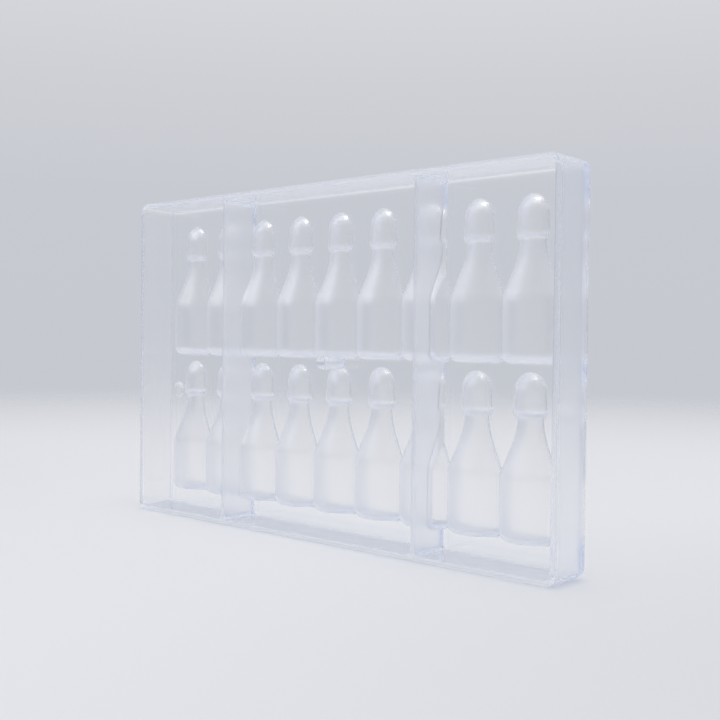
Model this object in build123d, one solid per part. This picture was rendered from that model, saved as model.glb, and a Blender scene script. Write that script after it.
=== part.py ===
# Chocolate mould: one clear moulded tray with two rows of half-bottle cavities.
#
# The tray stands on a long edge. X runs along its length, Z is up, the flat filling
# face looks along +Y and the open underside, with its skirt and ribs, along -Y.
# The origin is on the surface it stands on, under the middle of the tray.
#
# It is modelled lying flat, in tray coordinates: x along the length, y across the
# width, z down from the filling face into the depth. It is stood up at the end.

import os
from math import cos, radians, sin, tan

from build123d import *

# Tray
tray_length = 275.0
tray_width = 175.0
tray_depth = 24.0
corner_radius = 5.0
plate_thickness = 3.5
skirt_thickness = 2.5
draft_angle = 1.5
face_edge_radius = 0.8
rim_edge_radius = 0.5
floor_fillet_radius = 1.2

# Cross ribs, which divide the underside into three bays
rib_spacing = 129.0
rib_thickness = 2.2

# Cavity: half a bottle lying on its back, with a foil cap over a slim neck
bottle_length = 68.1
body_radius = 12.2
body_length = 23.9
heel_radius = 1.3
shoulder_radius = 8.0
shoulder_slope = 22.0
flare_radius = 44.0
neck_radius = 4.65
cap_length = 15.55
cap_base_radius = 6.4
cap_top_radius = 5.8
cap_edge_radius = 1.7
back_wall = 2.65

# Layout of the cavities, in rows that sit a little above the middle
column_gap = 3.65
row_gap = 8.9
row_rise = 0.3
least_margin = 11.0

# Moulding marks on the underside
gate_root_radius = 4.0
gate_tip_radius = 3.4
gate_edge_radius = 1.2
gate_setback = 6.5
pad_radius = 4.0
pad_height = 1.0
pad_edge_radius = 0.8
pad_inset = 10.0
pad_drop = 19.0


def row_offsets(overall, item, gap):
    """Centres of as many items as fit side by side, even about the middle."""
    pitch = item + gap
    count = int((overall - 2 * least_margin + gap) // pitch)
    return [pitch * (index - (count - 1) / 2) for index in range(count)]


def tray_block():
    """The outside of the tray, solid, with softened edges."""
    block = extrude(RectangleRounded(tray_length, tray_width, corner_radius), tray_depth)
    face_edges = block.faces().sort_by(Axis.Z)[0].edges()
    block = fillet(face_edges, face_edge_radius)
    rim_edges = block.faces().sort_by(Axis.Z)[-1].edges()
    return fillet(rim_edges, rim_edge_radius)


def bay(low_x, high_x):
    """One open pocket of the underside, narrower towards the plate by the draft."""
    outline = RectangleRounded(
        high_x - low_x,
        tray_width - 2 * skirt_thickness,
        corner_radius - skirt_thickness,
    )
    mouth = Pos((low_x + high_x) / 2, 0, tray_depth) * outline
    pocket = extrude(mouth, plate_thickness - tray_depth, taper=draft_angle)
    floor_edges = pocket.faces().sort_by(Axis.Z)[0].edges()
    return fillet(floor_edges, floor_fillet_radius)


def bays():
    """The three pockets, parted by the two cross ribs."""
    end = tray_length / 2 - skirt_thickness
    rib_inside = (rib_spacing - rib_thickness) / 2
    rib_outside = (rib_spacing + rib_thickness) / 2
    return [
        bay(-end, -rib_outside),
        bay(-rib_inside, rib_inside),
        bay(rib_outside, end),
    ]


def glass_outline(growth):
    """Half the outline of the bottle's body, shoulders and neck, grown outwards."""
    slope = radians(shoulder_slope)
    body_x = body_radius + growth
    neck_x = neck_radius + growth
    shoulder_end = (
        body_x - (shoulder_radius + growth) * (1 - cos(slope)),
        body_length + (shoulder_radius + growth) * sin(slope),
    )
    arcs_drop = (shoulder_radius + flare_radius) * (1 - cos(slope))
    cone_height = (body_radius - neck_radius - arcs_drop) / tan(slope)
    flare_top = body_length + cone_height + (shoulder_radius + flare_radius) * sin(slope)
    flare_start = (
        neck_x + (flare_radius - growth) * (1 - cos(slope)),
        flare_top - (flare_radius - growth) * sin(slope),
    )
    flare_end = (neck_x, flare_top)
    neck_top = bottle_length - cap_length / 2

    heel_centre = (body_radius - heel_radius, heel_radius)
    heel = CenterArc(heel_centre, heel_radius + growth, -90, 90)
    body = Line(heel @ 1, (body_x, body_length))
    shoulder = TangentArc(body @ 1, shoulder_end, tangent=(0, 1))
    cone = Line(shoulder_end, flare_start)
    flare = TangentArc(flare_start, flare_end, tangent=cone % 1)
    inside = Polyline(flare_end, (neck_x, neck_top), (0, neck_top), (0, -growth), heel @ 0)
    return make_face([heel, body, shoulder, cone, flare, inside])


def cap_outline(growth):
    """Half the outline of the foil cap, wider than the neck and domed on top."""
    edge_centre = (
        cap_base_radius - cap_edge_radius,
        bottle_length - cap_length + cap_edge_radius,
    )
    edge = CenterArc(edge_centre, cap_edge_radius + growth, -90, 90)
    dome_centre = (0, bottle_length - cap_top_radius)
    dome = CenterArc(dome_centre, cap_top_radius + growth, 0, 90)
    side = Line(edge @ 1, dome @ 0)
    inside = Polyline(dome @ 1, (0, (edge @ 0).Y), edge @ 0)
    return make_face([edge, side, dome, inside])


def bottle(growth):
    """The bottle turned about its axis, as a form for a cavity or for its back."""
    outline = glass_outline(growth) + cap_outline(growth)
    return revolve(outline, Axis.Y)


def spots():
    """Where each bottle's base stands, all of them upright when the tray stands."""
    columns = row_offsets(tray_length, 2 * body_radius, column_gap)
    rows = row_offsets(tray_width, bottle_length, row_gap)
    return [Pos(x, y + row_rise - bottle_length / 2, 0) for y in rows for x in columns]


def gate_stub():
    """What is left of the sprue, on the plate's middle between the rows."""
    length = tray_depth - gate_setback
    stub = Cone(
        gate_root_radius,
        gate_tip_radius,
        length,
        align=(Align.CENTER, Align.CENTER, Align.MIN),
    )
    tip_edge = stub.edges().sort_by(Axis.Z)[-1]
    return fillet(tip_edge, gate_edge_radius)


def pad(side):
    """A round pad beside the neck of an end bottle, where the part is pushed out."""
    post = Cylinder(
        pad_radius,
        plate_thickness + pad_height,
        align=(Align.CENTER, Align.CENTER, Align.MIN),
    )
    top_edge = post.edges().sort_by(Axis.Z)[-1]
    post = fillet(top_edge, pad_edge_radius)
    return Pos(side * (tray_length / 2 - pad_inset), -pad_drop, 0) * post


def backs():
    """The bulging backs of the cavities, from inside the plate downwards."""
    form = bottle(back_wall)
    below = Pos(0, 0, plate_thickness / 2) * Box(
        2 * tray_length,
        2 * tray_width,
        tray_depth,
        align=(Align.CENTER, Align.CENTER, Align.MIN),
    )
    back = form & below
    return [spot * back for spot in spots()]


def mould():
    """The tray with its backs, ribs and marks, then the cavities sunk into it."""
    cavity = bottle(0)
    tray = tray_block() - bays()
    tray += backs()
    tray += [gate_stub(), pad(-1), pad(1)]
    tray -= [spot * cavity for spot in spots()]

    middle = (0, tray_depth / 2, tray_width / 2)
    upright = Plane(origin=middle, x_dir=(1, 0, 0), z_dir=(0, -1, 0))
    return upright.location * tray


def main():
    os.makedirs("parts", exist_ok=True)
    part = mould()
    export_step(part, "parts/mould.step")
    print("mould", len(part.solids()), "solid", round(part.volume), "mm3")


main()
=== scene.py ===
import math

import bpy
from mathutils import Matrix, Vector

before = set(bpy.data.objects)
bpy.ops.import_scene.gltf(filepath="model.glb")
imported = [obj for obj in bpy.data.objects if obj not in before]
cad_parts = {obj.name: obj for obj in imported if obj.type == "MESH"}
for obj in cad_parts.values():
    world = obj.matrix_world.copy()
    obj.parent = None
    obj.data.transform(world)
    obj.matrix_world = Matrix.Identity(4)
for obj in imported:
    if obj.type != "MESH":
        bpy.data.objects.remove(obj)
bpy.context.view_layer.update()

scene = bpy.context.scene


def colour(red, green, blue):
    # 0 to 255 as seen on screen, to the linear values that nodes want
    def linear(value):
        value = value / 255
        return value / 12.92 if value <= 0.04045 else ((value + 0.055) / 1.055) ** 2.4
    return (linear(red), linear(green), linear(blue), 1.0)


def deselectAll():
    for thing in bpy.context.selected_objects:
        thing.select_set(False)


def addMath(tree, operation, first, second=None):
    node = tree.nodes.new("ShaderNodeMath")
    node.operation = operation
    for socket, value in zip(node.inputs, (first, second)):
        if isinstance(value, (int, float)):
            socket.default_value = value
        elif value is not None:
            tree.links.new(value, socket)
    return node.outputs["Value"]


def addRange(tree, value, low, high, start=0.0, end=1.0, soft=False):
    # start below low, end above high, and an even or soft change between them
    node = tree.nodes.new("ShaderNodeMapRange")
    node.interpolation_type = "SMOOTHSTEP" if soft else "LINEAR"
    node.inputs["From Min"].default_value = low
    node.inputs["From Max"].default_value = high
    node.inputs["To Min"].default_value = start
    node.inputs["To Max"].default_value = end
    tree.links.new(value, node.inputs["Value"])
    return node.outputs["Result"]


def addSpot(tree, value, inner, outer):
    # 1 up to inner, softly down to 0 at outer
    return addRange(tree, value, inner, outer, start=1.0, end=0.0, soft=True)


def addZone(tree, limits, edge):
    # 1 where each value lies between its limits, 0 elsewhere, and a change over the edge
    zone = 1.0
    for value, (low, high) in limits:
        above = addRange(tree, value, low - edge, low + edge)
        below = addRange(tree, value, high - edge, high + edge, start=1.0, end=0.0)
        zone = addMath(tree, "MULTIPLY", above, zone)
        zone = addMath(tree, "MULTIPLY", below, zone)
    return zone


def addMix(tree, share, first, second):
    node = tree.nodes.new("ShaderNodeMix")
    node.data_type = "RGBA"
    tree.links.new(share, node.inputs["Factor"])
    for socket, value in ((node.inputs["A"], first), (node.inputs["B"], second)):
        if isinstance(value, tuple):
            socket.default_value = value
        else:
            tree.links.new(value, socket)
    return node.outputs["Result"]


# Clear plastic of the tray: polished cavities, clear walls, and a haze on the backs of
# the cavities, on both sides of each rib and on the outside of the skirt. A haze whose
# grain crosses 0.28 shows speckles in the finished picture, so these stay above it.

far = 1.0  # metres, past every part of the tray

clearPlastic = {
    "tint": (0.995, 0.997, 1.0, 1.0),
    "ior": 1.585,
    "insideColour": (0.56, 0.7, 1.0, 1.0),
    "insideDensity": 3.0,
    "cavityFacing": (0.02, 0.08),  # faces that look to +Y by more than this are cavities
    "cavityRoughness": 0.02,
    "wallRoughness": 0.08,
    "backRoughness": 0.31,
    "backDepth": (-0.0032, 0.008),
    "backHeight": (0.011, 0.165),
    "backWidth": (-far, 0.1287),
    "ribRoughness": 0.32,
    "ribPlace": 0.0645,
    "ribHalf": 0.002,
    "ribDepth": (-far, 0.008),
    "ribHeight": (0.0026, 0.1724),
    "skirtRoughness": 0.31,
    "skirtDepth": (-0.0105, 0.0105),
    "withinWidth": (-far, 0.1371),  # past these two lie the skirt's outer faces
    "withinHeight": (0.001, 0.174),
    "zoneEdge": 0.0003,
    "grainScale": 400.0,
    "grainDetail": 3.0,
    "grainContrast": (0.3, 0.7),
    "grainRange": 0.08,
    "cornerRadius": 0.0015,  # of the sharp corners, in the shading alone
    "rippleScale": 45.0,
    "rippleHeight": 0.00002,
}


def addRoughness(tree, place):
    # what the walls and the hazy places add to the roughness of the cavities
    look = clearPlastic
    edge = look["zoneEdge"]
    parts = tree.nodes.new("ShaderNodeSeparateXYZ")
    tree.links.new(place, parts.inputs["Vector"])
    side = addMath(tree, "ABSOLUTE", parts.outputs["X"])
    depth, height = parts.outputs["Y"], parts.outputs["Z"]
    fromRib = addMath(tree, "ABSOLUTE", addMath(tree, "SUBTRACT", side, look["ribPlace"]))
    backs = addZone(tree, (
        (fromRib, (look["ribHalf"], far)),
        (depth, look["backDepth"]),
        (height, look["backHeight"]),
        (side, look["backWidth"]),
    ), edge)
    ribs = addZone(tree, (
        (fromRib, (-far, look["ribHalf"])),
        (depth, look["ribDepth"]),
        (height, look["ribHeight"]),
    ), edge)
    within = addZone(tree, (
        (side, look["withinWidth"]),
        (height, look["withinHeight"]),
    ), edge)
    band = addZone(tree, ((depth, look["skirtDepth"]),), edge)
    skirt = addMath(tree, "MULTIPLY", band, addMath(tree, "SUBTRACT", 1.0, within))
    rough = look["wallRoughness"] - look["cavityRoughness"]
    hazyPlaces = (
        (backs, look["backRoughness"]),
        (ribs, look["ribRoughness"]),
        (skirt, look["skirtRoughness"]),
    )
    for zone, roughness in hazyPlaces:
        extra = addMath(tree, "MULTIPLY", zone, roughness - look["wallRoughness"])
        rough = addMath(tree, "ADD", extra, rough)
    return rough


def makeClearPlastic():
    look = clearPlastic
    material = bpy.data.materials.new("clearPlastic")
    material.use_nodes = True
    tree = material.node_tree
    nodes = tree.nodes
    links = tree.links
    shader = nodes["Principled BSDF"]
    shader.inputs["Base Color"].default_value = look["tint"]
    shader.inputs["IOR"].default_value = look["ior"]
    shader.inputs["Transmission Weight"].default_value = 1.0
    place = nodes.new("ShaderNodeTexCoord").outputs["Object"]

    # which side a face looks to, the same from inside and outside the plastic
    surface = nodes.new("ShaderNodeNewGeometry")
    normal = nodes.new("ShaderNodeSeparateXYZ")
    links.new(surface.outputs["Normal"], normal.inputs["Vector"])
    turned = addMath(tree, "MULTIPLY", surface.outputs["Backfacing"], -2.0)
    outwards = addMath(tree, "ADD", turned, 1.0)
    facing = addMath(tree, "MULTIPLY", normal.outputs["Y"], outwards)
    underside = addRange(tree, facing, *look["cavityFacing"], start=1.0, end=0.0)

    grain = nodes.new("ShaderNodeTexNoise")
    grain.inputs["Scale"].default_value = look["grainScale"]
    grain.inputs["Detail"].default_value = look["grainDetail"]
    links.new(place, grain.inputs["Vector"])
    least, most = 1 - look["grainRange"], 1 + look["grainRange"]
    uneven = addRange(tree, grain.outputs["Fac"], *look["grainContrast"], least, most)
    rough = addMath(tree, "MULTIPLY", addRoughness(tree, place), underside)
    rough = addMath(tree, "ADD", rough, look["cavityRoughness"])
    links.new(addMath(tree, "MULTIPLY", rough, uneven), shader.inputs["Roughness"])

    corners = nodes.new("ShaderNodeBevel")
    corners.inputs["Radius"].default_value = look["cornerRadius"]
    ripple = nodes.new("ShaderNodeTexNoise")
    ripple.inputs["Scale"].default_value = look["rippleScale"]
    links.new(place, ripple.inputs["Vector"])
    bump = nodes.new("ShaderNodeBump")
    bump.inputs["Distance"].default_value = look["rippleHeight"]
    links.new(ripple.outputs["Fac"], bump.inputs["Height"])
    links.new(corners.outputs["Normal"], bump.inputs["Normal"])
    links.new(bump.outputs["Normal"], shader.inputs["Normal"])

    inside = nodes.new("ShaderNodeVolumeAbsorption")
    inside.inputs["Color"].default_value = look["insideColour"]
    inside.inputs["Density"].default_value = look["insideDensity"]
    links.new(inside.outputs["Volume"], nodes["Material Output"].inputs["Volume"])
    return material


def dressTray():
    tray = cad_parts["mould"]
    tray.material_slots[0].material = makeClearPlastic()
    print("tray dressed")


# Floor, with painted soft shade on it and a painted shadow under the tray, that fades out into the
# surroundings

floorLook = {
    "radius": 1.7,
    "sides": 96,
    "drop": 0.0003,  # below the tray, so that their faces don't coincide
    "roughness": 0.6,
    "gloss": 0.2,
    "fadeStart": 0.4,
    "fadeEnd": 1.6,
    "colour": colour(229, 230, 233),
    # painted shade: soft darker patches on the floor where shade would fall, left and right of the
    # tray
    "paintedShades": (
        {"place": (-0.55, -0.36, 0), "inner": 0.0, "outer": 0.52, "colour": colour(198, 201, 208)},
        {"place": (0.4, -0.04, 0), "inner": 0.1, "outer": 0.42, "colour": colour(217, 219, 223)},
    ),
    # painted shadow: a darker strip on the floor under the tray's foot, in place of its contact
    # shadow
    "footShadowWidth": (-0.1375, 0.1375),
    "footShadowDepth": (-0.012, 0.012),
    "footShadowEdge": 0.003,
    "footShadowColour": colour(208, 212, 220),
}


def addFloorColourAndShade(tree, place):
    look = floorLook
    tone = look["colour"]
    # painted shade, mixed softly into the floor's colour around each place
    for paintedShade in look["paintedShades"]:
        away = tree.nodes.new("ShaderNodeVectorMath")
        away.operation = "DISTANCE"
        away.inputs[1].default_value = paintedShade["place"]
        tree.links.new(place, away.inputs[0])
        share = addSpot(tree, away.outputs["Value"], paintedShade["inner"], paintedShade["outer"])
        tone = addMix(tree, share, tone, paintedShade["colour"])
    parts = tree.nodes.new("ShaderNodeSeparateXYZ")
    tree.links.new(place, parts.inputs["Vector"])
    # painted contact shadow under the tray's foot
    foot = addZone(tree, (
        (parts.outputs["X"], look["footShadowWidth"]),
        (parts.outputs["Y"], look["footShadowDepth"]),
    ), look["footShadowEdge"])
    return addMix(tree, foot, tone, look["footShadowColour"])


def makeFloorMaterial():
    look = floorLook
    material = bpy.data.materials.new("paleFloor")
    material.use_nodes = True
    tree = material.node_tree
    nodes = tree.nodes
    links = tree.links
    shader = nodes["Principled BSDF"]
    shader.inputs["Roughness"].default_value = look["roughness"]
    shader.inputs["Specular IOR Level"].default_value = look["gloss"]
    place = nodes.new("ShaderNodeTexCoord").outputs["Object"]
    links.new(addFloorColourAndShade(tree, place), shader.inputs["Base Color"])
    distance = nodes.new("ShaderNodeVectorMath")
    distance.operation = "LENGTH"
    links.new(place, distance.inputs[0])
    reach = distance.outputs["Value"]
    fade = addRange(tree, reach, look["fadeStart"], look["fadeEnd"], soft=True)
    gone = nodes.new("ShaderNodeBsdfTransparent")
    mix = nodes.new("ShaderNodeMixShader")
    links.new(fade, mix.inputs["Fac"])
    links.new(shader.outputs["BSDF"], mix.inputs[1])
    links.new(gone.outputs["BSDF"], mix.inputs[2])
    links.new(mix.outputs["Shader"], nodes["Material Output"].inputs["Surface"])
    return material


def makeFloor():
    look = floorLook
    deselectAll()
    bpy.ops.mesh.primitive_circle_add(
        vertices=look["sides"],
        radius=look["radius"],
        fill_type="NGON",
        location=(0, 0, -look["drop"]),
    )
    floor = bpy.context.object
    floor.name = "floor"
    floor.data.materials.append(makeFloorMaterial())
    print("floor laid")


# Surroundings: even light for the floor, and a pale room for the camera and the plastic.
# Bands and patches are placed in degrees, and a heading turns from +X towards +Y.

surroundings = {
    "lightColour": (0.98, 0.98, 1.0, 1.0),
    "lightStrength": 0.93,
    "bands": (
        (0, colour(198, 201, 208)),
        (8, colour(199, 202, 209)),
        (14, colour(207, 208, 214)),
        (20, colour(216, 217, 221)),
        (35, colour(226, 228, 233)),
        (90, colour(250, 251, 253)),
    ),
    "patches": (
        {"heading": 312, "height": 5, "inner": 20, "outer": 75, "colour": colour(178, 181, 190)},
        {"heading": 205, "height": 2, "inner": 20, "outer": 48, "colour": colour(184, 187, 196)},
        {"heading": 60, "height": 4, "inner": 14, "outer": 42, "colour": colour(178, 183, 198)},
        {"heading": 210, "height": 46, "inner": 12, "outer": 50, "colour": colour(252, 252, 254)},
        {"heading": 352, "height": 11, "inner": 9, "outer": 24, "colour": colour(45, 49, 60)},
    ),
}


def addBands(tree, direction):
    # the room's tone by height, from level to straight up
    straightUp = 90
    parts = tree.nodes.new("ShaderNodeSeparateXYZ")
    tree.links.new(direction, parts.inputs["Vector"])
    angle = addMath(tree, "ARCSINE", parts.outputs["Z"])
    height = addMath(tree, "MULTIPLY", angle, 1 / math.radians(straightUp))
    ramp = tree.nodes.new("ShaderNodeValToRGB")
    stops = ramp.color_ramp.elements
    while len(stops) < len(surroundings["bands"]):
        stops.new(0.5)
    for stop, (degrees, tone) in zip(stops, surroundings["bands"]):
        stop.position = degrees / straightUp
        stop.color = tone
    tree.links.new(height, ramp.inputs["Fac"])
    return ramp.outputs["Color"]


def addPatch(tree, direction, patch, before):
    # a soft round patch on the room's walls or ceiling
    heading, height = math.radians(patch["heading"]), math.radians(patch["height"])
    flat = math.cos(height)
    middle = (flat * math.cos(heading), flat * math.sin(heading), math.sin(height))
    along = tree.nodes.new("ShaderNodeVectorMath")
    along.operation = "DOT_PRODUCT"
    along.inputs[1].default_value = middle
    tree.links.new(direction, along.inputs[0])
    angle = addMath(tree, "ARCCOSINE", along.outputs["Value"])
    inner, outer = math.radians(patch["inner"]), math.radians(patch["outer"])
    return addMix(tree, addSpot(tree, angle, inner, outer), before, patch["colour"])


def makeSurroundings():
    look = surroundings
    world = bpy.data.worlds.new("studio")
    scene.world = world
    world.use_nodes = True
    tree = world.node_tree
    nodes = tree.nodes
    links = tree.links
    lighting = nodes["Background"]
    lighting.inputs["Color"].default_value = look["lightColour"]
    lighting.inputs["Strength"].default_value = look["lightStrength"]
    direction = nodes.new("ShaderNodeTexCoord").outputs["Generated"]
    room = addBands(tree, direction)
    for patch in look["patches"]:
        room = addPatch(tree, direction, patch, room)
    seen = nodes.new("ShaderNodeBackground")
    links.new(room, seen.inputs["Color"])

    rays = nodes.new("ShaderNodeLightPath").outputs
    seesRoom = addMath(tree, "MAXIMUM", rays["Is Camera Ray"], rays["Is Glossy Ray"])
    seesRoom = addMath(tree, "MAXIMUM", seesRoom, rays["Is Transmission Ray"])
    # light that reaches the floor through the plastic is as even as beside it
    beforeFloor = addMath(tree, "LESS_THAN", rays["Diffuse Depth"], 0.5)
    seesRoom = addMath(tree, "MULTIPLY", seesRoom, beforeFloor)
    mix = nodes.new("ShaderNodeMixShader")
    links.new(seesRoom, mix.inputs["Fac"])
    links.new(lighting.outputs["Background"], mix.inputs[1])
    links.new(seen.outputs["Background"], mix.inputs[2])
    links.new(mix.outputs["Shader"], nodes["World Output"].inputs["Surface"])
    print("surroundings made")


# Lamp

overheadLamp = {
    "place": (0.1, 0.0, 1.3),
    "aim": (0.0, 0.0, 0.0875),
    "size": 0.4,
    "power": 1.6,
}


def makeLamp():
    look = overheadLamp
    light = bpy.data.lights.new("overhead", "AREA")
    light.size = look["size"]
    light.energy = look["power"]
    lamp = bpy.data.objects.new("overhead", light)
    lamp.location = look["place"]
    toTray = Vector(look["aim"]) - Vector(look["place"])
    lamp.rotation_euler = toTray.to_track_quat("-Z", "Y").to_euler()
    scene.collection.objects.link(lamp)
    print("lamp hung")


# Camera, in metres, degrees and millimetres

cameraView = {
    "place": (0.34632, -0.36646, 0.09927),
    "tiltUp": 88.818,
    "roll": -0.645,
    "heading": 41.574,
    "lens": 50.75,
    "sensor": 36,
    "nearest": 0.01,
}


def makeCamera():
    look = cameraView
    eye = bpy.data.cameras.new("camera")
    eye.lens = look["lens"]
    eye.sensor_width = look["sensor"]
    eye.clip_start = look["nearest"]
    camera = bpy.data.objects.new("camera", eye)
    camera.location = look["place"]
    turns = (look["tiltUp"], look["roll"], look["heading"])
    camera.rotation_euler = [math.radians(turn) for turn in turns]
    scene.collection.objects.link(camera)
    scene.camera = camera
    print("camera set")


# Light paths, long enough for the many walls that light crosses in the tray

lightPaths = {
    "bounces": 64,
    "transparentBounces": 16,
}


def setLightPaths():
    look = lightPaths
    scene.view_settings.view_transform = "Standard"
    scene.cycles.blur_glossy = 0.0  # the floor gets its light through the plastic unblurred
    scene.cycles.max_bounces = look["bounces"]
    scene.cycles.transmission_bounces = look["bounces"]
    scene.cycles.glossy_bounces = look["bounces"]
    scene.cycles.transparent_max_bounces = look["transparentBounces"]
    print("light paths set")


dressTray()
makeFloor()
makeSurroundings()
makeLamp()
makeCamera()
setLightPaths()
